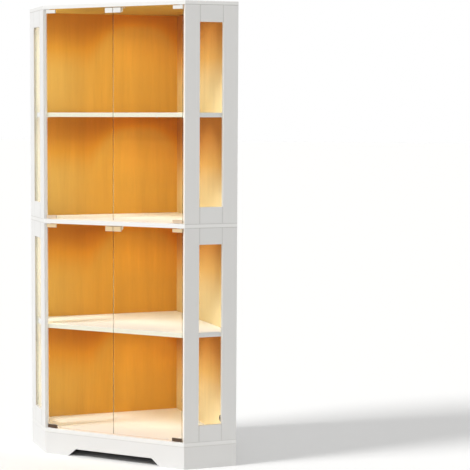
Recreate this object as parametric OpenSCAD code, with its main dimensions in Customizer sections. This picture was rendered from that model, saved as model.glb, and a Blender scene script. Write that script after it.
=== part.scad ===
// Corner display cabinet with two glazed tiers on a plinth.
// The plan has five sides: a front across the room's corner, two narrow glazed
// sides square to the walls, and two backs on the walls.
// Origin: on the floor, at the middle of the plan's bounding box.
// The front faces -Y and the back corner points to +Y.

/* [Overall size] */
// Height from the floor to the top
overall_h = 1800; // [1500:10:2100]
// Length of each back side, along its wall
wall_len = 655; // [600:5:760]
// Width of each glazed side, from the front corner to the wall
side_w = 216; // [196:2:256]

/* [Boards and panels] */
// Thickness of the top board
top_t = 16; // [15:1:25]
// Thickness of the middle and bottom boards
board_t = 18; // [18:1:25]
// Thickness of the shelves
shelf_t = 18; // [12:1:25]
// Thickness of the stiles, rails, back panels and plinth rails
panel_t = 16; // [16:1:18]
// Flat broken along the boards' outer edges
edge_break = 1; // [0.5:0.1:2]
// Space left between the back panels and the wall
back_inset = 2; // [1:0.5:6]

/* [Plinth] */
// Height of the plinth under the bottom board
plinth_h = 87; // [60:1:140]
// Height of the front cut-out
cutout_h = 30; // [15:1:45]
// Width of the cut-out along its top edge
cutout_w = 340; // [200:5:400]
// Distance that each end of the cut-out splays out at the floor
cutout_splay = 35; // [10:1:50]

/* [Side frames] */
// Width of the stiles
stile_w = 60; // [58:1:68]
// Width of the top and bottom rails
rail_w = 63; // [56:1:90]
// Thickness of the lip in front of the pane
lip_t = 7; // [5:0.5:8]
// Width of the rebate that holds the pane
rebate_w = 8; // [6:0.5:9]
// Thickness of the side panes
pane_t = 4; // [3:0.5:5]
// Space round the pane in its rebate
pane_play = 1; // [0.5:0.1:2]
// Gap at the ends of the glazing beads
bead_gap = 0.2; // [0.1:0.1:1]
// Flat on both sides of each joint between rail and stile
joint_bevel = 1.2; // [0.5:0.1:2]

/* [Shelves] */
// Distance from the front plane to the shelves
shelf_setback = 16; // [16:1:60]
// Space round the shelves
shelf_play = 1; // [0.5:0.1:3]
// Diameter of the shelf pins
support_pin_d = 5; // [4:0.5:6]
// Length of a shelf pin in its hole
support_pin_len = 8; // [6:1:10]
// Length of the tongue under the shelf
support_tongue = 10; // [8:1:16]
// Width of the tongue
support_w = 8; // [6:1:12]

/* [Glass doors] */
// Thickness of the door glass
glass_t = 4; // [4:0.5:5]
// Distance from the front plane to the glass
door_setback = 4; // [4:0.5:6]
// Distance from the cabinet's front corner to the door's edge
door_edge_gap = 12; // [12:0.5:20]
// Gap between the two doors
door_split = 2; // [1:0.5:5]
// Gap between a clip and the board over or under it
door_gap = 2; // [1.5:0.5:4]

/* [Hinge and strike clips] */
// Length of a hinge clip along the glass
clip_w = 41; // [34:1:60]
// Height of a hinge clip
clip_h = 13; // [12:0.5:20]
// Thickness of a clip's front plate
clip_front_t = 1.5; // [1:0.1:1.5]
// Thickness of a clip's rear plate
clip_rear_t = 2; // [1.5:0.1:2.2]
// Thickness of the bridge over the edge of the glass
clip_bridge_t = 2; // [1.5:0.1:3]
// Thickness of the liner between plate and glass
liner_t = 0.5; // [0.3:0.1:0.6]
// Distance from the door's outer edge to the pivot
pivot_inset = 8; // [7:0.5:9]
// Diameter of the pivot pins
pivot_d = 4; // [3:0.1:5]
// Length of a pivot pin inside its bush
pivot_engage = 7; // [5:0.5:7]
// Length of a strike clip along the glass
strike_w = 32.5; // [30:0.5:50]
// Height of a strike clip
strike_h = 19; // [16:0.5:30]
// Distance from the door's inner edge to the strike clip
strike_inset = 0.5; // [0:0.5:6]
// Diameter of the clip screws
screw_d = 4; // [3:0.5:5]
// Distance from a clip's middle to each of its screws
screw_offset = 11; // [8:0.5:12]

/* [Pivot bushes] */
// Wall of the bushes
bush_wall = 0.95; // [0.8:0.05:1.2]
// Width of the bushes' flange past the wall
bush_flange = 1; // [0.5:0.1:1.2]
// Radial clearance between pin and bush
pivot_clearance = 0.05; // [0.02:0.01:0.09]

/* [Touch latches] */
// Diameter of the plungers
plunger_d = 8; // [6:0.5:9]
// Length of the plungers
plunger_len = 30; // [24:1:40]
// Distance that a plunger goes in to release the door
plunger_travel = 2; // [1:0.5:3]
// Radial clearance between plunger and barrel
plunger_clearance = 0.08; // [0.05:0.01:0.1]
// Wall of the barrels
barrel_wall = 2; // [1.5:0.5:3]
// Thickness of the base plate
latch_plate_t = 2.5; // [2:0.5:4]
// Length of the base plate past each barrel
latch_ear = 12; // [8:1:20]

/* [Lights] */
// Width of the light channels
channel_w = 12; // [10:1:14]
// Depth of the light channels
channel_depth = 7; // [5:0.5:8]
// Wall of the light channels
channel_wall = 1; // [0.8:0.1:1.5]
// Thickness of the milky covers
cover_t = 2; // [1:0.5:3]
// Distance from the stile's front edge to the channel
channel_front = 8; // [5:1:9]
// Distance from the channel's ends to the boards
channel_end = 25; // [16:1:60]
// Inside diameter of the grommet for the lead
grommet_bore = 16; // [10:1:25]
// Wall of the grommet
grommet_wall = 2; // [1.5:0.5:3]
// Width of the grommet's flange
grommet_flange = 3; // [2:0.5:6]
// Thickness of the grommet's flange
grommet_flange_t = 1.5; // [1:0.5:3]
// Distance from the side's outer face to the grommet
grommet_along = 120; // [60:5:200]
// Height of the grommet above the bottom board
grommet_up = 60; // [40:5:120]

/* [Joint fittings] */
// Diameter of the cam locks
cam_d = 15; // [12:0.5:15]
// Depth of the cam locks
cam_depth = 12.5; // [11:0.5:13]
// Distance from the stile's end to the cam lock
cam_up = 34; // [24:1:34]
// Diameter of the cam bolt's shank
bolt_d = 7; // [5:0.5:7]
// Length of the cam bolt's thread in the board
bolt_thread = 8; // [6:0.5:8.5]
// Diameter of the dowels
dowel_d = 8; // [6:0.5:8]
// Length of the dowels
dowel_len = 30; // [26:1:34]
// Length of a dowel that goes into the face of a board or panel
dowel_bite = 8; // [6:0.5:8]
// Radial space round dowels, bolts, bushes and locks in their holes
fit_space = 0.05; // [0.02:0.01:0.1]

/* [Hidden] */
$fn = 48;
past = 1;
front_w = (wall_len - side_w) * sqrt(2);
depth = front_w / 2 + side_w * sqrt(2);
front_y = -depth / 2;
half_rear = front_w / 2 + side_w / sqrt(2);
rear_y = front_y + side_w / sqrt(2);
tier_h = (overall_h - plinth_h - 2 * board_t - top_t) / 2;
lower_z = plinth_h + board_t;
middle_z = lower_z + tier_h;
upper_z = middle_z + board_t;
top_z = upper_z + tier_h;
window_w = side_w - 2 * stile_w;
window_h = tier_h - 2 * rail_w;
bead_t = panel_t - lip_t - pane_t;
left = -1;
right = 1;
// Where the two back panels end, measured along the wall from the side's outer face
left_back_end = wall_len - back_inset;
right_back_end = left_back_end - panel_t;
// Shelf height in its tier: halfway between floor and ceiling
shelf_z = (tier_h - shelf_t) / 2;
// Door sizes, from the middle of the front
door_outer = front_w / 2 - door_edge_gap;
door_inner = door_split / 2;
pivot_x = door_outer - pivot_inset;
glass_end = door_gap + clip_bridge_t;
clip_front_y = front_y + door_setback - liner_t - clip_front_t;
clip_total = clip_front_t + clip_rear_t + glass_t + 2 * liner_t;
clip_rear_y = clip_front_y + clip_total;
pivot_y = front_y + door_setback + glass_t / 2;
strike_mid = door_inner + strike_inset + strike_w / 2;
// Bush: its bore, outside and depth in the board
bush_bore_r = pivot_d / 2 + pivot_clearance;
bush_r = bush_bore_r + bush_wall;
bush_depth = pivot_engage + 0.5;
// Latch: axis of the plungers below the board, and the barrels behind the glass
plunger_drop = door_gap + strike_h / 2;
barrel_r = plunger_d / 2 + plunger_clearance + barrel_wall;
barrel_y = clip_rear_y + plunger_travel + 0.5;
barrel_bore_len = plunger_len;
barrel_len = barrel_bore_len + barrel_wall;
// Places of the fittings along a stile, from the frame's front edge, clear of the rail dowels
fitting_space = 2;
front_cam_x = stile_w - dowel_len / 2 - fitting_space - cam_d / 2;
front_dowel_x = stile_w - 10;
back_cam_x = side_w - front_cam_x;
back_dowel_x = side_w - back_inset - panel_t / 2;
cam_bite = panel_t - cam_depth;
bolt_neck_d = bolt_d - 3;
bolt_head_len = 4;
bolt_neck_len = 5;
channel_len = tier_h - 2 * channel_end;
// Places of the dowels along a back panel, up a back panel and along a plinth rail
back_dowel_along = [120, wall_len - 150];
back_dowel_up = 150;
plinth_front_dowels = [-240, 0, 240];
plinth_side_dowels = [80, side_w - 76];
// Shelf pins: along the side frames, and along the walls
support_side_x = [front_cam_x, back_cam_x];
support_wall_x = wall_len - 110;
white = "#f3f2ee";
honey_veneer = "#e0a04f";
glass_tint = [0.8, 0.88, 0.86, 0.35];
metal = "#c9c9c6";
plastic = "#f0eee8";
dark_metal = "#6b5a48";
wood_pin = "#d9b98a";

// The five corners of the plan, taken in from the front, the sides and the walls
function plan(front, side, wall) =
    let (y0 = front_y + front,
         side_line = front_w / 2 - front_y - side * sqrt(2),
         wall_line = depth / 2 - wall * sqrt(2),
         x1 = (side_line + wall_line) / 2,
         y1 = (wall_line - side_line) / 2)
    [[-side_line - y0, y0], [side_line + y0, y0], [x1, y1], [0, wall_line], [-x1, y1]];

// Children drawn for the right hand, mirrored for the left
module handed(hand) {
    if (hand == left) mirror([1, 0, 0]) children();
    else children();
}

// A side's own frame: X back along the side, Y into the cabinet, Z up from the tier's floor
module at_side(hand, z)
    handed(hand) translate([front_w / 2, front_y, z]) rotate([0, 0, 45]) children();

// A wall's own frame: X along the wall towards the back corner, Y into the cabinet
module at_wall(hand, z)
    handed(hand) translate([half_rear, rear_y, z]) rotate([0, 0, 135]) children();

// Children at the foot of a tier's frame and, turned over, at its head
module both_ends() {
    children();
    translate([0, 0, tier_h]) mirror([0, 0, 1]) children();
}

// A square bar lying on its corner along X, which breaks an edge
module edge_bar(length, flat)
    rotate([45, 0, 0]) cube([length, flat * sqrt(2), flat * sqrt(2)], center = true);

// Breaks the front and side edges of a board at one height
module board_edges(z) {
    translate([0, front_y, z]) edge_bar(2 * front_w, edge_break);
    for (hand = [left, right])
        at_side(hand, z) translate([side_w / 2, 0, 0]) edge_bar(2 * side_w, edge_break);
}

// Holes that the stiles, back panels, dowels and pivots need in a board.
// Drawn for a board whose face is at Z 0 and whose material is below it.
module face_holes() {
    for (hand = [left, right]) {
        at_side(hand, 0) {
            for (x = [front_cam_x, back_cam_x])
                translate([x, panel_t / 2, -bolt_thread])
                    cylinder(r = bolt_neck_d / 2 + fit_space, h = bolt_thread + past);
            for (x = [front_dowel_x, back_dowel_x])
                translate([x, panel_t / 2, -dowel_bite])
                    cylinder(r = dowel_d / 2 + fit_space, h = dowel_bite + past);
        }
        at_wall(hand, 0)
            for (x = back_dowel_along)
                translate([x, back_inset + panel_t / 2, -dowel_bite])
                    cylinder(r = dowel_d / 2 + fit_space, h = dowel_bite + past);
        translate([hand * pivot_x, pivot_y, -bush_depth])
            cylinder(r = bush_r + fit_space, h = bush_depth + past);
    }
}

module board(z, t, holes_above, holes_below)
    difference() {
        translate([0, 0, z]) linear_extrude(t) polygon(plan(0, 0, 0));
        board_edges(z);
        board_edges(z + t);
        if (holes_above) translate([0, 0, z + t]) face_holes();
        if (holes_below) translate([0, 0, z]) mirror([0, 0, 1]) face_holes();
    }

module top_board() color(white) board(top_z, top_t, false, true);

module middle_board() color(white) board(middle_z, board_t, true, true);

module bottom_board()
    color(white) difference() {
        board(plinth_h, board_t, true, false);
        plinth_dowels(fit_space);
    }

// Dowels between the plinth and the bottom board, or their holes
module plinth_dowels(space) {
    base = plinth_h + dowel_bite - dowel_len;
    translate([0, 0, base - space]) {
        for (x = plinth_front_dowels)
            translate([x, front_y + panel_t / 2, 0]) dowel(space);
        for (hand = [left, right]) {
            at_side(hand, 0)
                for (x = plinth_side_dowels)
                    translate([x, panel_t / 2, 0]) dowel(space);
            at_wall(hand, 0)
                for (x = back_dowel_along)
                    translate([x - 30, back_inset + panel_t / 2, 0]) dowel(space);
        }
    }
}

// One upright dowel, or its hole when there is space round it
module dowel(space)
    cylinder(r = dowel_d / 2 + space, h = dowel_len + 2 * space);

module plinth_front()
    color(white) difference() {
        mitre = panel_t * tan(22.5);
        linear_extrude(plinth_h)
            polygon([[-front_w / 2, front_y], [front_w / 2, front_y],
                     [front_w / 2 - mitre, front_y + panel_t],
                     [-front_w / 2 + mitre, front_y + panel_t]]);
        translate([0, front_y + panel_t + past, 0]) rotate([90, 0, 0])
            linear_extrude(panel_t + 2 * past)
                polygon([[-cutout_w / 2 - cutout_splay, 0], [-cutout_w / 2, cutout_h],
                         [cutout_w / 2, cutout_h], [cutout_w / 2 + cutout_splay, 0],
                         [cutout_w / 2 + cutout_splay, -past],
                         [-cutout_w / 2 - cutout_splay, -past]]);
        plinth_dowels(fit_space);
    }

module plinth_side(hand)
    color(white) difference() {
        at_side(hand, 0)
            linear_extrude(plinth_h)
                polygon([[0, 0], [side_w, 0], [side_w, panel_t],
                         [panel_t * tan(22.5), panel_t]]);
        plinth_dowels(fit_space);
    }

module plinth_back(hand)
    color(white) difference() {
        end = hand == left ? left_back_end : right_back_end;
        at_wall(hand, 0)
            translate([panel_t, back_inset, 0]) cube([end - panel_t, panel_t, plinth_h]);
        plinth_dowels(fit_space);
    }

// A side pane with its play, or the rebate that holds it and its beads
module pane_space(play, thick)
    translate([stile_w - rebate_w + play, lip_t, rail_w - rebate_w + play])
        cube([window_w + 2 * (rebate_w - play), thick, window_h + 2 * (rebate_w - play)]);

// The flats on both sides of the joints between rails and stiles
module joint_flats()
    for (x = [stile_w, side_w - stile_w])
        translate([x, 0, tier_h / 2]) rotate([0, 90, 0])
            edge_bar(2 * tier_h, joint_bevel);

// Holes for a stile's fittings at one end of the frame, and for the rail's dowels
module stile_end_holes(cam_x, dowel_x) {
    translate([cam_x, panel_t / 2, -past])
        cylinder(r = bolt_d / 2 + fit_space, h = cam_up + past);
    translate([cam_x, cam_bite - fit_space, cam_up]) rotate([-90, 0, 0])
        cylinder(r = cam_d / 2 + fit_space, h = cam_depth + fit_space + past);
    translate([dowel_x, panel_t / 2, -past])
        cylinder(r = dowel_d / 2 + fit_space, h = dowel_len - dowel_bite + fit_space + past);
}

// Dowels between rails and stiles at one end of the frame, or their holes
module rail_dowels(space)
    for (x = [stile_w, side_w - stile_w])
        translate([x - dowel_len / 2 - space, panel_t / 2, rail_w / 2])
            rotate([0, 90, 0]) dowel(space);

// Shelf pins in one side frame, or their holes
module side_supports(space)
    for (x = support_side_x)
        translate([x, panel_t, shelf_z]) support(space);

// One shelf pin standing in a face at Y 0, its top at Z 0; with space, only its hole
module support(space) {
    translate([0, -support_pin_len - space, -support_pin_d / 2]) rotate([-90, 0, 0])
        cylinder(r = support_pin_d / 2 + space, h = support_pin_len + space + (space > 0 ? past : 0));
    if (space == 0)
        translate([-support_w / 2, 0, -support_pin_d])
            cube([support_w, support_tongue, support_pin_d]);
}

module front_stile(z, hand)
    color(white) at_side(hand, z) difference() {
        cube([stile_w, panel_t, tier_h]);
        pane_space(0, panel_t);
        joint_flats();
        translate([channel_front, panel_t - channel_depth, channel_end])
            cube([channel_w, channel_depth + past, channel_len]);
        both_ends() {
            stile_end_holes(front_cam_x, front_dowel_x);
            rail_dowels(fit_space);
        }
        side_supports(fit_space);
    }

module back_stile(z, hand)
    color(white) at_side(hand, z) difference() {
        translate([side_w - stile_w, 0, 0]) cube([stile_w, panel_t, tier_h]);
        pane_space(0, panel_t);
        joint_flats();
        both_ends() {
            stile_end_holes(back_cam_x, back_dowel_x);
            rail_dowels(fit_space);
            back_end_dowel(fit_space);
        }
        side_supports(fit_space);
    }

module rails(z, hand)
    color(white) at_side(hand, z) difference() {
        both_ends() translate([stile_w, 0, 0]) cube([window_w, panel_t, rail_w]);
        pane_space(0, panel_t);
        joint_flats();
        both_ends() rail_dowels(fit_space);
    }

module side_pane(z, hand)
    color(glass_tint) at_side(hand, z) pane_space(pane_play, pane_t);

// Two long and two short strips behind each side pane
module glazing_beads()
    color(white)
        for (z = [lower_z, upper_z], hand = [left, right])
            at_side(hand, z) translate([0, lip_t + pane_t, 0]) {
                for (x = [stile_w - rebate_w, side_w - stile_w])
                    translate([x, 0, rail_w - rebate_w])
                        cube([rebate_w, bead_t, window_h + 2 * rebate_w]);
                both_ends() translate([stile_w + bead_gap, 0, rail_w - rebate_w])
                    cube([window_w - 2 * bead_gap, bead_t, rebate_w]);
            }

// Dowel between a back stile and its back panel, or its hole, in the side's frame
module back_end_dowel(space)
    translate([back_dowel_x, panel_t - dowel_bite - space, back_dowel_up])
        rotate([-90, 0, 0]) dowel(space);

// Dowels between the two back panels, or their holes, in the right wall's frame
module corner_dowels(space)
    both_ends()
        translate([right_back_end + dowel_bite - dowel_len - space,
                   back_inset + panel_t / 2, back_dowel_up])
            rotate([0, 90, 0]) dowel(space);

// Dowels between a back panel and the boards, or their holes, in the wall's frame
module back_edge_dowels(space)
    both_ends()
        for (x = back_dowel_along)
            translate([x, back_inset + panel_t / 2, -dowel_bite - space]) dowel(space);

module back_panel(z, hand)
    color(honey_veneer) difference() {
        end = hand == left ? left_back_end : right_back_end;
        at_wall(hand, z) difference() {
            translate([panel_t, back_inset, 0]) cube([end - panel_t, panel_t, tier_h]);
            back_edge_dowels(fit_space);
            translate([support_wall_x, back_inset + panel_t, shelf_z]) support(fit_space);
        }
        at_side(hand, z) both_ends() back_end_dowel(fit_space);
        at_wall(right, z) corner_dowels(fit_space);
        if (hand == right && z == lower_z)
            at_grommet() cylinder(r = grommet_r + fit_space, h = panel_t + 2 * past);
    }

// The grommet's frame: Z from the inner face of the back panel out to the wall
grommet_r = grommet_bore / 2 + grommet_wall;
module at_grommet()
    at_wall(right, lower_z)
        translate([grommet_along, back_inset + panel_t + past, grommet_up])
            rotate([90, 0, 0]) children();

module cable_grommet()
    color("#303030") at_grommet() difference() {
        translate([0, 0, past - grommet_flange_t]) {
            cylinder(r = grommet_r, h = panel_t + grommet_flange_t);
            cylinder(r = grommet_r + grommet_flange, h = grommet_flange_t);
        }
        translate([0, 0, -past - grommet_flange_t])
            cylinder(r = grommet_bore / 2, h = panel_t + grommet_flange_t + 4 * past);
    }

module shelf(z)
    color(white)
        translate([0, 0, z + shelf_z]) difference() {
            linear_extrude(shelf_t)
                polygon(plan(shelf_setback, panel_t + shelf_play,
                             back_inset + panel_t + shelf_play));
            for (h = [0, shelf_t])
                translate([0, front_y + shelf_setback, h]) edge_bar(2 * front_w, edge_break);
        }

module shelf_supports()
    color(metal)
        for (z = [lower_z, upper_z], hand = [left, right]) {
            at_side(hand, z) side_supports(0);
            at_wall(hand, z)
                translate([support_wall_x, back_inset + panel_t, shelf_z]) support(0);
        }

// One bush standing in a face at Z 0, its flange above the face
module bush()
    difference() {
        union() {
            translate([0, 0, -bush_depth]) cylinder(r = bush_r, h = bush_depth);
            cylinder(r = bush_r + bush_flange, h = door_gap);
        }
        translate([0, 0, -bush_depth - past])
            cylinder(r = bush_bore_r, h = bush_depth + door_gap + 2 * past);
    }

module pivot_bushes()
    color(plastic)
        for (z = [lower_z, upper_z], hand = [left, right])
            translate([hand * pivot_x, pivot_y, z]) both_ends() bush();

// Children at a cam lock's place at both ends of all eight stiles
module at_cams()
    for (z = [lower_z, upper_z], hand = [left, right], x = [front_cam_x, back_cam_x])
        at_side(hand, z) both_ends() translate([x, panel_t / 2, 0]) children();

module cam_locks()
    color(metal) at_cams() difference() {
        translate([0, cam_bite - panel_t / 2, cam_up]) rotate([-90, 0, 0])
            cylinder(r = cam_d / 2, h = cam_depth);
        translate([0, 0, cam_up - cam_d])
            cylinder(r = bolt_d / 2 + 2 * fit_space, h = cam_d + bolt_head_len / 2 + past);
        translate([0, panel_t / 2 - 2, cam_up]) rotate([-90, 0, 0])
            linear_extrude(2 + past) {
                square([8, 1.4], center = true);
                square([1.4, 8], center = true);
            }
    }

module cam_bolts()
    color(metal) at_cams() {
        shank = cam_up - bolt_neck_len - bolt_head_len / 2;
        translate([0, 0, -bolt_thread]) cylinder(r = bolt_neck_d / 2, h = bolt_thread + cam_up);
        cylinder(r = bolt_d / 2, h = shank);
        translate([0, 0, cam_up - bolt_head_len / 2])
            cylinder(r = bolt_d / 2, h = bolt_head_len);
    }

module dowels()
    color(wood_pin) {
        for (z = [lower_z, upper_z], hand = [left, right]) {
            at_side(hand, z) both_ends() {
                for (x = [front_dowel_x, back_dowel_x])
                    translate([x, panel_t / 2, -dowel_bite]) dowel(0);
                rail_dowels(0);
                back_end_dowel(0);
            }
            at_wall(hand, z) back_edge_dowels(0);
        }
        for (z = [lower_z, upper_z]) at_wall(right, z) corner_dowels(0);
        plinth_dowels(0);
    }

// Children at the groove of each front stile, X across it and Y out of it
module at_channels()
    for (z = [lower_z, upper_z], hand = [left, right])
        at_side(hand, z)
            translate([channel_front, panel_t - channel_depth, channel_end]) children();

module light_channels()
    color(metal) at_channels() difference() {
        cube([channel_w, channel_depth, channel_len]);
        translate([channel_wall, channel_wall, -past])
            cube([channel_w - 2 * channel_wall, channel_depth, channel_len + 2 * past]);
    }

module light_covers()
    color("#fff1c4") at_channels()
        translate([channel_wall, channel_depth - cover_t, 0])
            cube([channel_w - 2 * channel_wall, cover_t, channel_len]);

module door_glass(z, hand)
    color(glass_tint) handed(hand)
        translate([door_inner, front_y + door_setback, z + glass_end])
            cube([door_outer - door_inner, glass_t, tier_h - 2 * glass_end]);

// A clip at the foot of a tier: two plates joined by a bridge under the glass
module clip(x, width, height)
    difference() {
        translate([x, clip_front_y, door_gap]) cube([width, clip_total, height]);
        translate([x - past, clip_front_y + clip_front_t, glass_end])
            cube([width + 2 * past, glass_t + 2 * liner_t, height]);
        clip_screws(x, width, height, fit_space);
    }

// The two screws in a clip's rear plate, or their holes
module clip_screws(x, width, height, space)
    for (side = [-1, 1])
        translate([x + width / 2 + side * screw_offset,
                   clip_rear_y - clip_rear_t - (space > 0 ? past : 0),
                   door_gap + height / 2])
            rotate([-90, 0, 0]) difference() {
                cylinder(r = screw_d / 2 + space, h = clip_rear_t + (space > 0 ? 2 * past : 0));
                if (space == 0)
                    translate([0, 0, clip_rear_t / 2])
                        cylinder(r = screw_d / 4, h = clip_rear_t, $fn = 6);
            }

module hinge_clips(z, hand)
    color(metal) handed(hand) translate([0, 0, z]) both_ends() {
        clip(door_outer - clip_w, clip_w, clip_h);
        translate([pivot_x, pivot_y, -pivot_engage])
            cylinder(r = pivot_d / 2, h = pivot_engage + door_gap + clip_bridge_t / 2);
    }

module strike_clip(z, hand)
    color(metal) handed(hand) translate([0, 0, z + tier_h]) mirror([0, 0, 1])
        clip(door_inner + strike_inset, strike_w, strike_h);

module door_screws(z, hand)
    color(dark_metal) handed(hand) translate([0, 0, z]) {
        both_ends() clip_screws(door_outer - clip_w, clip_w, clip_h, 0);
        translate([0, 0, tier_h]) mirror([0, 0, 1])
            clip_screws(door_inner + strike_inset, strike_w, strike_h, 0);
    }

// A double latch under the ceiling of each tier: base plate and two barrels
module latch_bodies()
    color(plastic)
        for (z = [lower_z, upper_z])
            translate([0, barrel_y, z + tier_h]) difference() {
                union() {
                    translate([-strike_mid - latch_ear - barrel_r, 0, -latch_plate_t])
                        cube([2 * (strike_mid + latch_ear + barrel_r), barrel_len, latch_plate_t]);
                    for (hand = [left, right])
                        translate([hand * strike_mid, 0, -plunger_drop]) {
                            rotate([-90, 0, 0]) cylinder(r = barrel_r, h = barrel_len);
                            translate([-barrel_r, 0, 0])
                                cube([2 * barrel_r, barrel_len, plunger_drop - latch_plate_t]);
                        }
                }
                for (hand = [left, right])
                    translate([hand * strike_mid, -past, -plunger_drop]) rotate([-90, 0, 0])
                        cylinder(r = plunger_d / 2 + plunger_clearance, h = barrel_bore_len + past);
            }

module latch_plunger(z, hand)
    color(plastic)
        translate([hand * strike_mid, clip_rear_y, z + tier_h - plunger_drop])
            rotate([-90, 0, 0]) cylinder(r = plunger_d / 2, h = plunger_len);

top_board();
middle_board();
bottom_board();
plinth_front();
plinth_side(left);  // plinth_left_side
plinth_side(right);  // plinth_right_side
plinth_back(left);  // plinth_left_back
plinth_back(right);  // plinth_right_back
front_stile(upper_z, left);  // upper_left_front_stile
back_stile(upper_z, left);  // upper_left_back_stile
rails(upper_z, left);  // upper_left_rails
front_stile(upper_z, right);  // upper_right_front_stile
back_stile(upper_z, right);  // upper_right_back_stile
rails(upper_z, right);  // upper_right_rails
front_stile(lower_z, left);  // lower_left_front_stile
back_stile(lower_z, left);  // lower_left_back_stile
rails(lower_z, left);  // lower_left_rails
front_stile(lower_z, right);  // lower_right_front_stile
back_stile(lower_z, right);  // lower_right_back_stile
rails(lower_z, right);  // lower_right_rails
side_pane(upper_z, left);  // upper_left_side_pane
side_pane(upper_z, right);  // upper_right_side_pane
side_pane(lower_z, left);  // lower_left_side_pane
side_pane(lower_z, right);  // lower_right_side_pane
glazing_beads();
back_panel(upper_z, left);  // upper_left_back_panel
back_panel(upper_z, right);  // upper_right_back_panel
back_panel(lower_z, left);  // lower_left_back_panel
back_panel(lower_z, right);  // lower_right_back_panel
shelf(upper_z);  // upper_shelf
shelf(lower_z);  // lower_shelf
shelf_supports();
pivot_bushes();
latch_bodies();
cam_locks();
cam_bolts();
dowels();
light_channels();
light_covers();
cable_grommet();
door_glass(upper_z, left);  // upper_left_door_glass
door_glass(upper_z, right);  // upper_right_door_glass
door_glass(lower_z, left);  // lower_left_door_glass
door_glass(lower_z, right);  // lower_right_door_glass
hinge_clips(upper_z, left);  // upper_left_hinge_clips
hinge_clips(upper_z, right);  // upper_right_hinge_clips
hinge_clips(lower_z, left);  // lower_left_hinge_clips
hinge_clips(lower_z, right);  // lower_right_hinge_clips
strike_clip(upper_z, left);  // upper_left_strike_clip
strike_clip(upper_z, right);  // upper_right_strike_clip
strike_clip(lower_z, left);  // lower_left_strike_clip
strike_clip(lower_z, right);  // lower_right_strike_clip
door_screws(upper_z, left);  // upper_left_clip_screws
door_screws(upper_z, right);  // upper_right_clip_screws
door_screws(lower_z, left);  // lower_left_clip_screws
door_screws(lower_z, right);  // lower_right_clip_screws
latch_plunger(upper_z, left);  // upper_left_latch_plunger
latch_plunger(upper_z, right);  // upper_right_latch_plunger
latch_plunger(lower_z, left);  // lower_left_latch_plunger
latch_plunger(lower_z, right);  // lower_right_latch_plunger
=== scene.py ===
import math

import bmesh
import bpy
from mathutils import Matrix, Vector


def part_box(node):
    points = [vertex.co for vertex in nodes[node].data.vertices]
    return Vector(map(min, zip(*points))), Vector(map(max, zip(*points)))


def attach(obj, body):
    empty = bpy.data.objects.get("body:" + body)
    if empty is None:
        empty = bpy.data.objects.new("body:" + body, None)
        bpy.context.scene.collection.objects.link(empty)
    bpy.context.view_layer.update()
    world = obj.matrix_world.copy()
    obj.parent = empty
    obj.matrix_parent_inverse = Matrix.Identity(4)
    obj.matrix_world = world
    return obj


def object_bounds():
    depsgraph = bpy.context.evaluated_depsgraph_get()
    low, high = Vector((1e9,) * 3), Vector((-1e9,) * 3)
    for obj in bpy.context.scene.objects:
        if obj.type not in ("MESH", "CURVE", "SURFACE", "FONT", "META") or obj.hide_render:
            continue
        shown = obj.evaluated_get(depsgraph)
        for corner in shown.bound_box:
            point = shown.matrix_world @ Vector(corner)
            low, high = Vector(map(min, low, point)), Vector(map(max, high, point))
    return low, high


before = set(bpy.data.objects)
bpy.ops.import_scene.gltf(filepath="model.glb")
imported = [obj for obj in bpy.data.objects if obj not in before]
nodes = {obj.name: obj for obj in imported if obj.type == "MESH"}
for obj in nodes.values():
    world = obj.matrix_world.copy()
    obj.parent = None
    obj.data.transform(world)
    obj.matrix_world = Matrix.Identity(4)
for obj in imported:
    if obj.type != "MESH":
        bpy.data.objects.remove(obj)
cad_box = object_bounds()
scene = bpy.context.scene
tiers = ("lower", "upper")
hands = ("left", "right")

# Camera. It stands in front of the cabinet and to the right, a little under eye height, and looks
# slightly down. The shift keeps the cabinet at the left of the picture, as in the photograph.
camera_data = bpy.data.cameras.new("camera")
camera_data.lens = 110.77
camera_data.shift_x = 0.2062
camera_data.clip_end = 200
camera = bpy.data.objects.new("camera", camera_data)
camera.location = (2.6285, -5.3000, 1.3770)
looks_down, turned_left = math.radians(4.831), math.radians(26.76)
camera.rotation_euler = (math.pi / 2 - looks_down, 0, turned_left)
scene.collection.objects.link(camera)
scene.camera = camera

# Studio. One large soft light stands at the front left, above head height, and even pale light
# comes from all round. The floor is white card, and the cabinet's shadow runs off to the right.
# A mirroring surface finds the front of the room dim, as behind a real camera.
scene.view_settings.view_transform = "Standard"
key_strength = 0.57
key_data = bpy.data.lights.new("key_light", "SUN")
key_data.angle = math.radians(14)
key_data.energy = key_strength * math.pi
key_data.color = (1, 0.995, 0.98)
key = bpy.data.objects.new("key_light", key_data)
key_from = Vector((-0.673, -0.740, 1.0))
key.rotation_euler = key_from.to_track_quat("Z", "Y").to_euler()
scene.collection.objects.link(key)


def feed(tree, socket, value):
    """Gives a socket a node's output, a number, or a colour of three numbers."""
    if isinstance(value, bpy.types.NodeSocket):
        tree.links.new(value, socket)
    else:
        socket.default_value = (*value, 1) if isinstance(value, tuple) else value


def maths(tree, operation, *values):
    """One sum on node outputs and plain numbers."""
    node = tree.nodes.new("ShaderNodeMath")
    node.operation = operation
    for socket, value in zip(node.inputs, values):
        feed(tree, socket, value)
    return node.outputs[0]


def run(tree, value, low, high, first, last, kind="LINEAR"):
    """Runs from first to last as a value goes from low to high, and stays there beyond them."""
    node = tree.nodes.new("ShaderNodeMapRange")
    node.interpolation_type = kind
    for name, limit in (("Value", value), ("From Min", low), ("From Max", high),
                        ("To Min", first), ("To Max", last)):
        feed(tree, node.inputs[name], limit)
    return node.outputs["Result"]


def mixed(tree, factor, first, second, kind="RGBA"):
    """Runs from one colour to another as the factor goes from 0 to 1, or from number to number."""
    node = tree.nodes.new("ShaderNodeMix")
    node.data_type = kind
    for name, value in (("Factor", factor), ("A", first), ("B", second)):
        feed(tree, node.inputs[name], value)
    return node.outputs["Result"]


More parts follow.
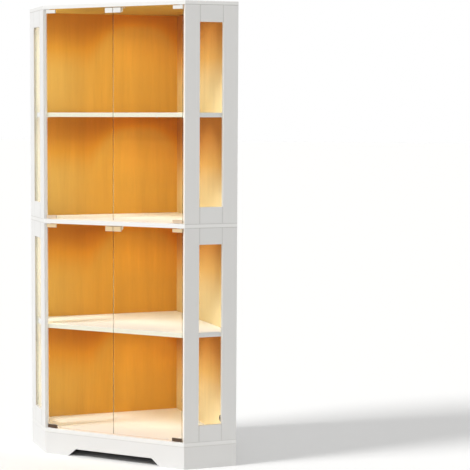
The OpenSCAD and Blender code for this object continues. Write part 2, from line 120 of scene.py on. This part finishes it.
def on_axis(tree, place, axis):
    """How far along X, Y or Z a place lies."""
    node = tree.nodes.new("ShaderNodeSeparateXYZ")
    tree.links.new(place, node.inputs[0])
    return node.outputs[axis]


def seen_directly(tree):
    """1 for rays that show the surroundings to the camera, straight or in glass and metal."""
    path = tree.nodes.new("ShaderNodeLightPath")
    seen = path.outputs["Is Camera Ray"]
    for ray in ("Is Glossy Ray", "Is Transmission Ray"):
        seen = maths(tree, "MAXIMUM", seen, path.outputs[ray])
    return seen


def front_shade(tree, place, start, end):
    """1, and for rays that one mirroring surface has turned back it falls along Y to dim."""
    dim = 0.08
    path = tree.nodes.new("ShaderNodeLightPath")
    mirrored = maths(tree, "COMPARE", path.outputs["Glossy Depth"], 1, 0.4)
    fall = run(tree, on_axis(tree, place, "Y"), start, end, 1.0, dim)
    return mixed(tree, mirrored, 1.0, fall, kind="FLOAT")


world = bpy.data.worlds.new("studio")
world.use_nodes = True
scene.world = world
tree = world.node_tree
tree.nodes.clear()
room_light = tree.nodes.new("ShaderNodeBackground")
room_light.inputs["Color"].default_value = (1, 0.998, 0.99, 1)
room_light.inputs["Strength"].default_value = 0.60
backdrop = tree.nodes.new("ShaderNodeBackground")
backdrop.inputs["Color"].default_value = (1, 1, 1, 1)
way = tree.nodes.new("ShaderNodeTexCoord").outputs["Generated"]
tree.links.new(front_shade(tree, way, start=0.1, end=-0.25), backdrop.inputs["Strength"])
choose = tree.nodes.new("ShaderNodeMixShader")
tree.links.new(seen_directly(tree), choose.inputs["Fac"])
tree.links.new(room_light.outputs[0], choose.inputs[1])
tree.links.new(backdrop.outputs[0], choose.inputs[2])
world_out = tree.nodes.new("ShaderNodeOutputWorld")
tree.links.new(choose.outputs[0], world_out.inputs["Surface"])

floor_reach = 60
floor_shape = bmesh.new()
bmesh.ops.create_grid(floor_shape, x_segments=1, y_segments=1, size=floor_reach)
floor_mesh = bpy.data.meshes.new("studio_floor")
floor_shape.to_mesh(floor_mesh)
floor_shape.free()
floor = bpy.data.objects.new("studio_floor", floor_mesh)
scene.collection.objects.link(floor)
card = bpy.data.materials.new("white_card")
card.use_nodes = True
tree = card.node_tree
tree.nodes.clear()
spot = tree.nodes.new("ShaderNodeTexCoord").outputs["Object"]
card_tone = mixed(tree, seen_directly(tree), (0.80, 0.80, 0.80),
                  front_shade(tree, spot, start=-0.35, end=-1.1))
card_face = tree.nodes.new("ShaderNodeBsdfDiffuse")
tree.links.new(card_tone, card_face.inputs["Color"])
card_out = tree.nodes.new("ShaderNodeOutputMaterial")
tree.links.new(card_face.outputs[0], card_out.inputs["Surface"])
floor_mesh.materials.append(card)


# Boards. Three five-sided boards of fibreboard carry each other through the side frames and the
# back panels. They are sprayed with satin white lacquer, which leaves a very fine orange peel.
# Their white is painted lighter than the plinth's, as painted light; their faces that look to the
# left and their joint lines are painted shade, and under the bottom board is a near-black tone of
# painted shade.
def finish(name, metallic=0.0):
    """A new material, its node tree and shader, and the Object coordinates its pattern reads."""
    material = bpy.data.materials.new(name)
    material.use_nodes = True
    tree = material.node_tree
    shader = tree.nodes["Principled BSDF"]
    shader.inputs["Metallic"].default_value = metallic
    place = tree.nodes.new("ShaderNodeTexCoord")
    return material, tree, shader, place.outputs["Object"]


def workings(material):
    """The node tree, shader and Object coordinates of a finish made before."""
    tree = material.node_tree
    place = next(node for node in tree.nodes if node.type == "TEX_COORD").outputs["Object"]
    return tree, tree.nodes["Principled BSDF"], place


def noise(tree, place, scale, detail=2.0, stretch=(1, 1, 1)):
    """Noise on the piece's own coordinates, stretched along an axis where the finish has a run."""
    mapping = tree.nodes.new("ShaderNodeMapping")
    mapping.inputs["Scale"].default_value = stretch
    tree.links.new(place, mapping.inputs["Vector"])
    texture = tree.nodes.new("ShaderNodeTexNoise")
    texture.inputs["Scale"].default_value = scale
    texture.inputs["Detail"].default_value = detail
    tree.links.new(mapping.outputs[0], texture.inputs["Vector"])
    return texture.outputs["Fac"]


def between(tree, factor, low, high):
    """Turns a noise's middle range into a run from low to high."""
    return run(tree, factor, 0.3, 0.7, low, high)


def relief(tree, shader, height, depth, strength=0.5):
    """Raises a height into the surface as a bump, with its depth in metres."""
    bump = tree.nodes.new("ShaderNodeBump")
    bump.inputs["Strength"].default_value = strength
    bump.inputs["Distance"].default_value = depth
    tree.links.new(height, bump.inputs["Height"])
    tree.links.new(bump.outputs[0], shader.inputs["Normal"])


def slow_drift(tree, place):
    """The slow drift of a sprayed coat, from 0 to 1."""
    return between(tree, noise(tree, place, scale=2.5), 0, 1)


def sprayed(name, first, second):
    """Satin lacquer over fibreboard: a slow drift of tone, uneven gloss and fine orange peel."""
    material, tree, shader, place = finish(name)
    feed(tree, shader.inputs["Base Color"], mixed(tree, slow_drift(tree, place), first, second))
    gloss = between(tree, noise(tree, place, scale=45), 0.36, 0.48)
    feed(tree, shader.inputs["Roughness"], gloss)
    peel = noise(tree, place, scale=650, detail=1.0)
    relief(tree, shader, peel, depth=0.00012, strength=0.35)
    return material


def coat(material, *names):
    """Gives a finish to the CAD nodes of these names."""
    for name in names:
        slots = nodes[name].data.materials
        slots.clear()
        slots.append(material)


def within(tree, value, low, high):
    """1 where a value lies between low and high."""
    return maths(tree, "COMPARE", value, (low + high) / 2, (high - low) / 2)


def behind_front(tree, place, line):
    """Keeps a line on the sides and the back, and off the front edge."""
    front_skin = cad_box[0][1] + 0.0006
    return maths(tree, "MULTIPLY", line, within(tree, on_axis(tree, place, "Y"), front_skin, 1.0))


def joint_shaded(tree, colour, *lines):
    """Paints shade into a colour in the lines where one piece meets the next, the shade a fine open
    joint holds.
    """
    joint_painted_shade = (0.71, 0.70, 0.68)
    line = lines[0]
    for other in lines[1:]:
        line = maths(tree, "MAXIMUM", line, other)
    return mixed(tree, line, colour, joint_painted_shade)


def dot(tree, vector, way):
    """How far a vector goes along way."""
    node = tree.nodes.new("ShaderNodeVectorMath")
    node.operation = "DOT_PRODUCT"
    node.inputs[1].default_value = way
    tree.links.new(vector, node.inputs[0])
    return node.outputs["Value"]


def facing(tree, place, way, colour, other):
    """One colour on the faces that look along way, and the other colour elsewhere."""
    square_on = within(tree, dot(tree, place.node.outputs["Normal"], way), 0.9, 1.1)
    return mixed(tree, square_on, other, colour)


def painted(shader):
    """The colour that a finish has so far."""
    return shader.inputs["Base Color"].links[0].from_socket


def reface(material, way, colour):
    """Gives the faces of a finish that look along way another colour."""
    tree, shader, place = workings(material)
    feed(tree, shader.inputs["Base Color"], facing(tree, place, way, colour, painted(shader)))


diagonal = math.sqrt(0.5)
to_left, to_right = (-diagonal, -diagonal, 0), (diagonal, -diagonal, 0)
# Painted light: the boards, and the faces of frames and beads that look into the bays or the
# windows, take a lighter white than the plinth's
lit_board_white, lit_board_white_2 = (0.930, 0.925, 0.905), (0.945, 0.940, 0.925)
# Painted shade: faces that look to the left take a darker white
left_face_painted_shade = (0.830, 0.826, 0.815)
# Painted shade: a near-black tone on the underside and inner faces, under the cabinet
painted_shade_black = (0.10, 0.085, 0.07)
under_top_face = 0.0001
bottom_shade_line = 0.0016
bottom_low, bottom_high = (corner.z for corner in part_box("bottom_board"))
edge_lacquer = sprayed("edge_lacquer", lit_board_white, lit_board_white_2)
# Painted shade on the board's faces that look to the left
reface(edge_lacquer, to_left, left_face_painted_shade)
tree, shader, place = workings(edge_lacquer)
height = on_axis(tree, place, "Z")
upper_line = within(tree, height, bottom_high - bottom_shade_line, bottom_high - under_top_face)
lines = [within(tree, height, bottom_low - bottom_shade_line, bottom_low + bottom_shade_line),
         behind_front(tree, place, upper_line)]
# Painted shade in the joint lines
feed(tree, shader.inputs["Base Color"], joint_shaded(tree, painted(shader), *lines))
# Painted shade under the bottom board
reface(edge_lacquer, (0, 0, -1), painted_shade_black)
coat(edge_lacquer, "bottom_board")

# Plinth. A front rail with a splayed cut-out, two side rails mitred to it and two rails at the
# walls, all dowelled to the bottom board. They are lacquered outside, the side rails in their
# frames' painted whites, and inside they have the near-black tone of painted shade, which deepens
# the dark under the cut-out.
plinth_white = ((0.866, 0.862, 0.850), (0.884, 0.880, 0.870))
# Painted shade and light: each side frame's white is its own copy, darker at the left and lighter
# at the upper right
frame_painted_whites = {"lower_left": ((0.800, 0.796, 0.788), (0.820, 0.816, 0.810)),
               "upper_left": ((0.800, 0.796, 0.788), (0.820, 0.816, 0.810)),
               "lower_right": ((0.848, 0.843, 0.826), (0.866, 0.862, 0.846)),
               "upper_right": ((0.876, 0.871, 0.853), (0.894, 0.890, 0.873))}
for rail, tones, inward in (("front", plinth_white, (0, 1, 0)),
                            ("left_side", frame_painted_whites["lower_left"], (diagonal, diagonal, 0)),
                            ("right_side", frame_painted_whites["lower_right"], (-diagonal, diagonal, 0)),
                            ("left_back", plinth_white, to_right),
                            ("right_back", plinth_white, to_left)):
    rail_lacquer = sprayed(f"plinth_{rail}_lacquer", *tones)
    # Painted shade on the rails' inner faces
    reface(rail_lacquer, inward, painted_shade_black)
    coat(rail_lacquer, f"plinth_{rail}")

# Side frames. Each glazed side is a frame of two stiles and two rails, dowelled at the corners and
# lacquered as one, with a fine groove left at each joint whose shade is painted on the rails, and
# beads that hold its pane. Each frame's white is its own copy, darker at the left as painted shade
# and lighter at the upper right as painted light. Their edges in the windows and inside the cabinet
# are painted lighter than the outside, and the left lip's edge is painted shade.
outer_face = 0.618365  # abs(X) - Y, all over the outer face of a side frame
lip_depth = 0.007
tolerance = 0.001
lip_back = outer_face - lip_depth * math.sqrt(2)
joint_shade_line = 0.0026
# Painted light on the frames' edges in the windows and inside, painted shade on the left lip's edge
reveal_painted_tones = {"left": ((0.95, 0.98, 0.97), (0.58, 0.55, 0.49)),
              "right": (lit_board_white, lit_board_white)}
for hand, sign, outward, forward in (("left", -1, to_left, to_right),
                                     ("right", 1, to_right, to_left)):
    rails_low, rails_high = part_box(f"upper_{hand}_rails")
    reach = max(abs(rails_low.x), abs(rails_high.x))
    joints = (2 * rails_low.y + outer_face, 2 * reach - outer_face)
    for tier in tiers:
        side = f"{tier}_{hand}"
        back_lacquer = sprayed(f"{side}_back_lacquer", *frame_painted_whites[side])
        tree, _, place = workings(back_lacquer)
        on_lip = within(tree, dot(tree, place, (sign, -1, 0)), lip_back, outer_face + tolerance)
        # Painted light on the reveals and painted shade on the left lip
        reface(back_lacquer, forward, mixed(tree, on_lip, *reveal_painted_tones[hand]))
        coat(back_lacquer, f"{side}_back_stile")

        front_lacquer = sprayed(f"{side}_front_lacquer", *frame_painted_whites[side])
        tree, shader, place = workings(front_lacquer)
        # Painted light: the faces other than the outside take the boards' lighter white
        tone = facing(tree, place, outward, painted(shader), lit_board_white)
        feed(tree, shader.inputs["Base Color"], tone)
        coat(front_lacquer, f"{side}_front_stile")

        rail_lacquer = sprayed(f"{side}_rail_lacquer", *frame_painted_whites[side])
        tree, shader, place = workings(rail_lacquer)
        along = dot(tree, place, (sign, 1, 0))
        lines = [within(tree, along, joint - joint_shade_line, joint + joint_shade_line)
                 for joint in joints]
        # Painted shade in the joint lines
        feed(tree, shader.inputs["Base Color"], joint_shaded(tree, painted(shader), *lines))
        coat(rail_lacquer, f"{side}_rails")
bead_lacquer = sprayed("bead_lacquer", *plinth_white)
# Painted light: a yellow-green glow on the faces that look to the right, and the boards' lighter
# white on those that look to the left
reface(bead_lacquer, to_right, (0.95, 0.98, 0.84))
reface(bead_lacquer, to_left, lit_board_white)
coat(bead_lacquer, "glazing_beads")


# Side panes. Clear float glass lies in the rebates of the frames, behind a lip. Its faces are
# polished flat, and a cut edge, where one shows, is green and a little frosted.
def float_glass(name, face_way, edge_tone):
    """Clear glass whose faces look along face_way or against it. The rest are its cut edges."""
    material, tree, shader, place = finish(name)
    look = maths(tree, "ABSOLUTE", dot(tree, place.node.outputs["Normal"], face_way))
    face_limit = 0.7
    frosted, polished = 0.12, 0.0
    face = maths(tree, "GREATER_THAN", look, face_limit)
    feed(tree, shader.inputs["Base Color"], mixed(tree, face, edge_tone, (0.985, 0.995, 0.985)))
    feed(tree, shader.inputs["Roughness"], run(tree, face, 0, 1, frosted, polished))
    shader.inputs["Transmission Weight"].default_value = 1.0
    shader.inputs["IOR"].default_value = 1.5
    # Lamps shine straight through, so that the shelves behind the glass are lit
    clear = tree.nodes.new("ShaderNodeBsdfTransparent")
    clear.inputs["Color"].default_value = (1, 1, 1, 1)
    path = tree.nodes.new("ShaderNodeLightPath")
    lamp = maths(tree, "MAXIMUM", path.outputs["Is Shadow Ray"], path.outputs["Is Diffuse Ray"])
    choose = tree.nodes.new("ShaderNodeMixShader")
    tree.links.new(lamp, choose.inputs["Fac"])
    tree.links.new(shader.outputs[0], choose.inputs[1])
    tree.links.new(clear.outputs[0], choose.inputs[2])
    tree.links.new(choose.outputs[0], tree.nodes["Material Output"].inputs["Surface"])
    return material


pane_green = (0.50, 0.74, 0.62)
for hand, outward in (("left", to_left), ("right", to_right)):
    pane_glass = float_glass(f"{hand}_pane_glass", outward, pane_green)
    for tier in tiers:
        coat(pane_glass, f"{tier}_{hand}_side_pane")

# Back panels. Two panels to a tier stand on the boards and lap in the back corner. They are white
# outside. Inside they have a honey veneer of upright grain, its amber partly its own tone and
# partly painted warm light. Painted shade deepens it under the boards in a low arch. Painted light
# tints it along each panel and lightens the right panels, and a margin of painted light lies beside
# each frame.
shelf_t = 0.018
bay_floor = 0.105
bay_pitch = 0.42425
bay_h = bay_pitch - shelf_t
ceilings = [bay_floor + bay_h + number * bay_pitch for number in range(4)]
no_arch = (0, 0, 1)
no_tint = (1, 1, 1)


def honey_veneer(tree, place, deep, half_way, pale, shade_depth, dome, light_tints):
    """The veneer's colour: upright grain, and painted shade that deepens over the top of each bay.

    The painted shade starts shade_depth under the ceiling, in a low arch: dome is its rise, middle
    and half width. The light_tints give two places along X, the painted light's tint at each, and
    the second's tint in the upper half."""
    across, height = on_axis(tree, place, "X"), on_axis(tree, place, "Z")
    bay = maths(tree, "FLOORED_MODULO", maths(tree, "SUBTRACT", height, bay_floor), bay_pitch)
    rise, middle, half_width = dome
    off = maths(tree, "SUBTRACT", across, middle)
    start = run(tree, maths(tree, "MULTIPLY", off, off), 0, half_width ** 2,
                bay_h - shade_depth + rise, bay_h - shade_depth, "SMOOTHSTEP")
    ramp = tree.nodes.new("ShaderNodeValToRGB")
    ramp.color_ramp.elements[0].color = (*pale, 1)
    ramp.color_ramp.elements[1].color = (*deep, 1)
    ramp.color_ramp.elements.new(0.5).color = (*half_way, 1)
    tree.links.new(run(tree, bay, start, bay_h, 0, 1, "SMOOTHERSTEP"), ramp.inputs["Fac"])

    first_x, last_x, first_tint, last_tint, upper_tint = light_tints
    tint_run = run(tree, across, first_x, last_x, 0, 1, "SMOOTHSTEP")
    half_from, half_to = 0.10, 0.28
    upper_half = run(tree, bay, half_from, half_to, 0, 1, "SMOOTHSTEP")
    lift_from, lift_to = last_x - 0.02, last_x + 0.06
    lift = run(tree, across, lift_from, lift_to, 0, upper_half, "SMOOTHSTEP")
    tint = mixed(tree, lift, mixed(tree, tint_run, first_tint, last_tint), upper_tint)
    tinted = tree.nodes.new("ShaderNodeVectorMath")
    tinted.operation = "MULTIPLY"
    tree.links.new(ramp.outputs["Color"], tinted.inputs[0])
    tree.links.new(tint, tinted.inputs[1])

    figure = noise(tree, place, scale=26, detail=3.0, stretch=(1, 1, 0.07))
    pores = between(tree, noise(tree, place, scale=240, stretch=(1, 1, 0.03)), 0.96, 1.03)
    grained = tree.nodes.new("ShaderNodeVectorMath")
    grained.operation = "SCALE"
    tree.links.new(tinted.outputs[0], grained.inputs[0])
    grain = maths(tree, "MULTIPLY", between(tree, figure, 0.94, 1.03), pores)
    tree.links.new(grain, grained.inputs["Scale"])
    return grained.outputs[0], pores


def faced(name, side, limit, veneer_edge, shade_ramp, shade_depth, dome=no_arch,
          light_tints=(2, 3, no_tint, no_tint, no_tint), edge=None, margin=None):
    """White lacquer, with honey veneer on the faces that look more than limit along side.

    The veneer lies where abs(X) - Y is under veneer_edge. The white is the boards' lighter white,
    painted light, with painted shade on the faces that look to the left and in the joint lines.
    Edge is the painted warm light of a front edge, and margin the painted light beside the veneer,
    where these aren't white."""
    material, tree, shader, place = finish(name)
    breadth = maths(tree, "ABSOLUTE", on_axis(tree, place, "X"))
    spread = maths(tree, "SUBTRACT", breadth, on_axis(tree, place, "Y"))
    look = dot(tree, place.node.outputs["Normal"], side)
    inside = maths(tree, "GREATER_THAN", look, limit)
    where = maths(tree, "MULTIPLY", inside, within(tree, spread, -1.0, veneer_edge))
    # The boards' lighter white, painted light
    white = mixed(tree, slow_drift(tree, place), lit_board_white, lit_board_white_2)
    # Painted shade on the faces that look to the left
    white = facing(tree, place, to_left, left_face_painted_shade, white)
    middle_low, top_low = ceilings[1], ceilings[3]
    middle_high = middle_low + shelf_t
    height = on_axis(tree, place, "Z")
    lines = [behind_front(tree, place, within(tree, height, low, high)) for low, high in (
        (middle_low - joint_shade_line, middle_low + joint_shade_line),
        (middle_high - joint_shade_line, middle_high - under_top_face),
        (top_low - joint_shade_line, top_low + joint_shade_line))]
    # Painted shade in the joint lines
    white = joint_shaded(tree, white, *lines)
    if edge:
        # Painted warm light on the front edge
        white = facing(tree, place, (0, -1, 0), edge, white)
    if margin:
        # Painted light on the margin beside the veneer
        white = mixed(tree, inside, white, margin)
    # Painted shade over the top of each bay, and painted light along X
    veneer, pores = honey_veneer(tree, place, *shade_ramp, shade_depth, dome, light_tints)
    feed(tree, shader.inputs["Base Color"], mixed(tree, where, white, veneer))
    feed(tree, shader.inputs["Roughness"], between(tree, pores, 0.52, 0.64))
    shader.inputs["Specular IOR Level"].default_value = 0.08
    relief(tree, shader, pores, depth=0.0001, strength=0.35)
    return material


# The arch of the painted shade's edge, and the tints of painted light along X
arch = (0.21, -0.125, 0.16)
to_corner = (-0.40, -0.22, (0.89, 0.98, 1.13), (0.96, 0.910, 0.68), (1.13, 1.03, 0.71))
to_low_corner = (-0.40, -0.22, (0.84, 0.89, 0.95), (0.93, 0.87, 0.64), (1.12, 0.99, 0.63))
from_corner = (0.10, 0.0, no_tint, (1.0, 0.92, 0.74), no_tint)
# Painted light on the margins beside the frames, yellower at the left
margin_painted_light, left_margin_painted_light = (0.98, 0.96, 0.90), (0.97, 0.93, 0.70)
# Each side's tones: painted shade at a bay's top, half way, and painted light at its bottom
veneer_shade_ramps = {
    "lower_left": ((0.67, 0.222, 0.022), (0.82, 0.330, 0.035), (0.80, 0.405, 0.075)),
    "upper_left": ((0.68, 0.245, 0.028), (0.82, 0.355, 0.044), (0.82, 0.445, 0.098)),
    "lower_right": ((0.62, 0.250, 0.045), (0.86, 0.53, 0.185), (0.92, 0.75, 0.420)),
    "upper_right": ((0.60, 0.25, 0.055), (0.82, 0.48, 0.155), (0.94, 0.77, 0.440))}
# Each side's painted shade: its depth under the ceiling, the arch of its edge, and its light tints
bay_painted_shading = {"lower_left": (0.29, arch, to_low_corner), "upper_left": (0.29, arch, to_corner),
          "lower_right": (0.38, no_arch, from_corner), "upper_right": (0.38, no_arch, from_corner)}
panel_limit, panel_edge = 0.5, 0.530
for side, shade_ramp in veneer_shade_ramps.items():
    margin = left_margin_painted_light if side.endswith("left") else margin_painted_light
    veneer = faced(f"{side}_veneer", (0, -1, 0), panel_limit, panel_edge, shade_ramp, *bay_painted_shading[side],
                   margin=margin)
    coat(veneer, f"{side}_back_panel")

# Shelves. One lacquered shelf to a tier lies loose on six turned pins of plated steel, each with a
# flat tongue. The undersides of the shelves and of the boards over the bays take an amber tone of
# painted warm light and shade, lighter at the left, and the shelves' front edges a painted warm
# cream.
# Painted warm light and shade: the undersides take an amber tone, lighter at the left
ceiling_warm_light_tone = ((0.64, 0.38, 0.072),) * 3
ceiling_limit, ceiling_edge = 0.7, 0.585
ceiling_shade_depth = 0.22
to_front = (-0.40, -0.10, (1.24, 1.42, 1.80), (0.92, 0.90, 0.95), (0.92, 0.90, 0.95))
ceiling_painted_amber = faced("ceiling_painted_amber", (0, 0, -1), ceiling_limit, ceiling_edge, ceiling_warm_light_tone,
                       ceiling_shade_depth, light_tints=to_front)
# Painted warm light on the shelves' front edges
shelf_painted_amber = faced("shelf_painted_amber", (0, 0, -1), ceiling_limit, ceiling_edge, ceiling_warm_light_tone,
                     ceiling_shade_depth, edge=(0.990, 0.955, 0.79))
coat(ceiling_painted_amber, "middle_board", "top_board")
coat(shelf_painted_amber, "lower_shelf", "upper_shelf")


def plated(name, tone, worn, gloss, grain=(1, 1, 1)):
    """Plated or brushed metal: a clouded tone, fine brush marks and uneven gloss."""
    material, tree, shader, place = finish(name, metallic=1.0)
    cloud = between(tree, noise(tree, place, scale=60), 0, 1)
    feed(tree, shader.inputs["Base Color"], mixed(tree, cloud, tone, worn))
    marks = noise(tree, place, scale=900, detail=1.0, stretch=grain)
    feed(tree, shader.inputs["Roughness"], between(tree, marks, *gloss))
    relief(tree, shader, marks, depth=0.00003, strength=0.4)
    return material


pin_steel = plated("pin_steel", (0.72, 0.71, 0.69), (0.66, 0.65, 0.63), gloss=(0.22, 0.34))
coat(pin_steel, "shelf_supports")

# Joint fittings. Die-cast cam locks sit in the inner faces of the stiles and pull on steel bolts in
# the boards. Fluted beech dowels hold every other joint in line.
cast_zinc = plated("cast_zinc", (0.60, 0.60, 0.61), (0.52, 0.52, 0.53), gloss=(0.38, 0.52))
coat(cast_zinc, "cam_locks")
coat(pin_steel, "cam_bolts")
beech, tree, shader, place = finish("beech")
grain = between(tree, noise(tree, place, scale=260, detail=3.0, stretch=(1, 1, 0.08)), 0, 1)
feed(tree, shader.inputs["Base Color"], mixed(tree, grain, (0.62, 0.42, 0.23), (0.50, 0.31, 0.16)))
feed(tree, shader.inputs["Roughness"], between(tree, grain, 0.55, 0.7))
relief(tree, shader, grain, depth=0.0001)
coat(beech, "dowels")

# Lights. An anodised aluminium channel is let into each front stile, and a milky cover clicks into
# it over a row of warm lamps, which show as a faint row of brighter spots. Small area lamps spread
# their light over the bays, out of the camera's sight.
channel_metal = plated("channel_metal", (0.80, 0.80, 0.80), (0.74, 0.74, 0.75), gloss=(0.28, 0.4),
                       grain=(1, 1, 0.05))
coat(channel_metal, "light_channels")
lamp_power = 8
lamp_pitch = 0.0167
milky_cover, tree, shader, place = finish("milky_cover")
shader.inputs["Base Color"].default_value = (0.90, 0.88, 0.82, 1)
shader.inputs["Roughness"].default_value = 0.5
phase = maths(tree, "MULTIPLY", on_axis(tree, place, "Z"), 2 * math.pi / lamp_pitch)
lamps = run(tree, maths(tree, "SINE", phase), -1, 1, 0.85 * lamp_power, 1.15 * lamp_power)
feed(tree, shader.inputs["Emission Strength"], lamps)
shader.inputs["Emission Color"].default_value = (1, 0.92, 0.50, 1)
coat(milky_cover, "light_covers")
glow_drop = 0.004
glow_heights = [ceiling - glow_drop for ceiling in ceilings]
# Each glow has a name, width, depth, power, place, turn in degrees and colour
glows = [(f"bay_glow_{number}", 0.45, 0.05, 0.60, (0.03, -0.10, top), (25, 0, 5), (1, 1, 0.82))
         for number, top in enumerate(glow_heights)]
glows += [(f"side_glow_{number}", 0.10, 0.05, 0.07, (-0.28, -0.21, top), (10, 0, 30), (1, 1, 0.72))
          for number, top in enumerate(glow_heights)]
glows += [(f"strip_glow_{number}", 0.02, 0.78, 0.14, (-0.325, -0.255, middle), (90, 0, 20),
           (1, 0.94, 0.62)) for number, middle in enumerate((0.520, 1.369))]
for name, width, depth, power, spot, turn, tint in glows:
    glow_data = bpy.data.lights.new(name, "AREA")
    glow_data.shape = "RECTANGLE"
    glow_data.size = width
    glow_data.size_y = depth
    glow_data.spread = math.radians(110)
    glow_data.energy = power
    glow_data.color = tint
    glow = bpy.data.objects.new(name, glow_data)
    glow.location = spot
    glow.rotation_euler = [math.radians(angle) for angle in turn]
    glow.visible_camera = False
    glow.visible_glossy = False
    glow.visible_transmission = False
    scene.collection.objects.link(glow)


# Grommet. A black rubber ring lines the hole in the lower right back panel through which the
# lights' lead leaves.
def moulded(name, first, second, gloss):
    """Moulded plastic or rubber: a clouded tone over a fine spark-eroded texture."""
    material, tree, shader, place = finish(name)
    cloud = between(tree, noise(tree, place, scale=35), 0, 1)
    feed(tree, shader.inputs["Base Color"], mixed(tree, cloud, first, second))
    texture = noise(tree, place, scale=1400, detail=1.0)
    feed(tree, shader.inputs["Roughness"], between(tree, texture, *gloss))
    relief(tree, shader, texture, depth=0.00008)
    return material


black_rubber = moulded("black_rubber", (0.025, 0.025, 0.026), (0.035, 0.034, 0.034),
                       gloss=(0.55, 0.7))
coat(black_rubber, "cable_grommet")

# Pivot bushes and latches. White nylon bushes in the boards carry the doors' pins. Under each
# ceiling is a moulded double latch, whose sprung plungers have a magnet in the tip.
white_nylon = moulded("white_nylon", (0.80, 0.79, 0.75), (0.83, 0.82, 0.79), gloss=(0.38, 0.5))
coat(white_nylon, "pivot_bushes", "latch_bodies")
magnet_depth = 0.003
magnet_tone = (0.45, 0.44, 0.43)
tipped_nylon = white_nylon.copy()
tipped_nylon.name = "tipped_nylon"
tree, shader, place = workings(tipped_nylon)
tip_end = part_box("upper_left_latch_plunger")[0].y + magnet_depth
magnet = maths(tree, "LESS_THAN", on_axis(tree, place, "Y"), tip_end)
feed(tree, shader.inputs["Metallic"], magnet)
feed(tree, shader.inputs["Base Color"], mixed(tree, magnet, painted(shader), magnet_tone))
for tier in tiers:
    for hand in hands:
        coat(tipped_nylon, f"{tier}_{hand}_latch_plunger")

# Doors. Each is one pane of tempered glass with polished edges, and nothing round it.
# Painted light: the cut edges are a straw amber, the warm light of the bays seen through them
door_edge_warm_light = (1.0, 0.84, 0.28)
door_glass = float_glass("door_glass", (0, 1, 0), door_edge_warm_light)
for tier in tiers:
    for hand in hands:
        coat(door_glass, f"{tier}_{hand}_door_glass")

# Clips. Satin nickel clips grip the glass at its outer corners, with the pivot pins on them, and
# at its inner top corners, where the latch's magnets hold them. The lowest pair carries a dark
# brown painted shade and the middle ones a painted warm light. Grub screws tighten them.
satin_nickel = plated("satin_nickel", (0.99, 0.98, 0.95), (0.97, 0.955, 0.92), gloss=(0.50, 0.60),
                      grain=(0.06, 1, 1))
tree, shader, place = workings(satin_nickel)
height = on_axis(tree, place, "Z")
plate = painted(shader)
# The rows of clips with painted shade (the lowest) and painted warm light (the middle ones), by
# the heights they lie between, and each row's tone
clip_painted_tones = ((0.10, 0.13, (0.12, 0.07, 0.04)), (0.90, 0.94, (0.92, 0.70, 0.42)),
              (0.95, 0.98, (0.86, 0.66, 0.47)))
for low, high, tone in clip_painted_tones:
    plate = mixed(tree, within(tree, height, low, high), plate, tone)
feed(tree, shader.inputs["Base Color"], plate)
shader.inputs["Metallic"].default_value = 0.12
screw_steel = plated("screw_steel", (0.36, 0.32, 0.28), (0.28, 0.25, 0.22), gloss=(0.3, 0.45))
for tier in tiers:
    for hand in hands:
        door = f"{tier}_{hand}"
        coat(satin_nickel, f"{door}_hinge_clips", f"{door}_strike_clip")
        coat(screw_steel, f"{door}_clip_screws")

# Clip liners. A clear plastic pad lies on each side of the glass inside every clip, so that the
# metal never touches the glass. Its rim stands out past the clip by a hair.
liner_plastic = moulded("liner_plastic", (0.62, 0.61, 0.58), (0.68, 0.67, 0.64), gloss=(0.25, 0.35))
rim = 0.0004
pad_t = 0.0005
pad_corner = 0.0012
pin_h = 0.007
door_gap = 0.002
clip_h = 0.013
glass_front, glass_back = (corner.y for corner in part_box("upper_left_door_glass"))


def pad(shape, x0, x1, z0, z1, y):
    """One flat pad with rounded corners, between x0 and x1 and z0 and z1, with its front at y."""
    made = bmesh.ops.create_cube(shape, size=1)["verts"]
    bmesh.ops.scale(shape, vec=(x1 - x0, pad_t, z1 - z0), verts=made)
    bmesh.ops.translate(shape, vec=((x0 + x1) / 2, y + pad_t / 2, (z0 + z1) / 2), verts=made)
    corners = [e for e in {e for v in made for e in v.link_edges}
               if abs(e.verts[0].co.y - e.verts[1].co.y) > pad_t / 2]
    bmesh.ops.bevel(shape, geom=corners, offset=pad_corner, affect="EDGES", segments=4,
                    profile=0.5, material=-1)


for tier in tiers:
    for hand in hands:
        door = f"{tier}_{hand}"
        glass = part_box(f"{door}_door_glass")
        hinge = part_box(f"{door}_hinge_clips")
        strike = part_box(f"{door}_strike_clip")
        hinge_reach = pin_h + door_gap + clip_h
        bands = [
            (hinge[0].x, hinge[1].x, glass[0].z, hinge[0].z + hinge_reach),
            (hinge[0].x, hinge[1].x, hinge[1].z - hinge_reach, glass[1].z),
            (strike[0].x, strike[1].x, strike[0].z, glass[1].z),
        ]
        shape = bmesh.new()
        for number, (x0, x1, z0, z1) in enumerate(bands):
            z0 -= rim if number else 0
            z1 += 0 if number else rim
            x0 -= rim if number == 2 or hand == "right" else 0
            x1 += rim if number == 2 or hand == "left" else 0
            for y in (glass_front - pad_t, glass_back):
                pad(shape, x0, x1, z0, z1, y)
        mesh = bpy.data.meshes.new(f"{door}_clip_liners")
        shape.to_mesh(mesh)
        shape.free()
        mesh.materials.append(liner_plastic)
        liners = bpy.data.objects.new(f"{door}_clip_liners", mesh)
        scene.collection.objects.link(liners)
        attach(liners, f"{door}_door")
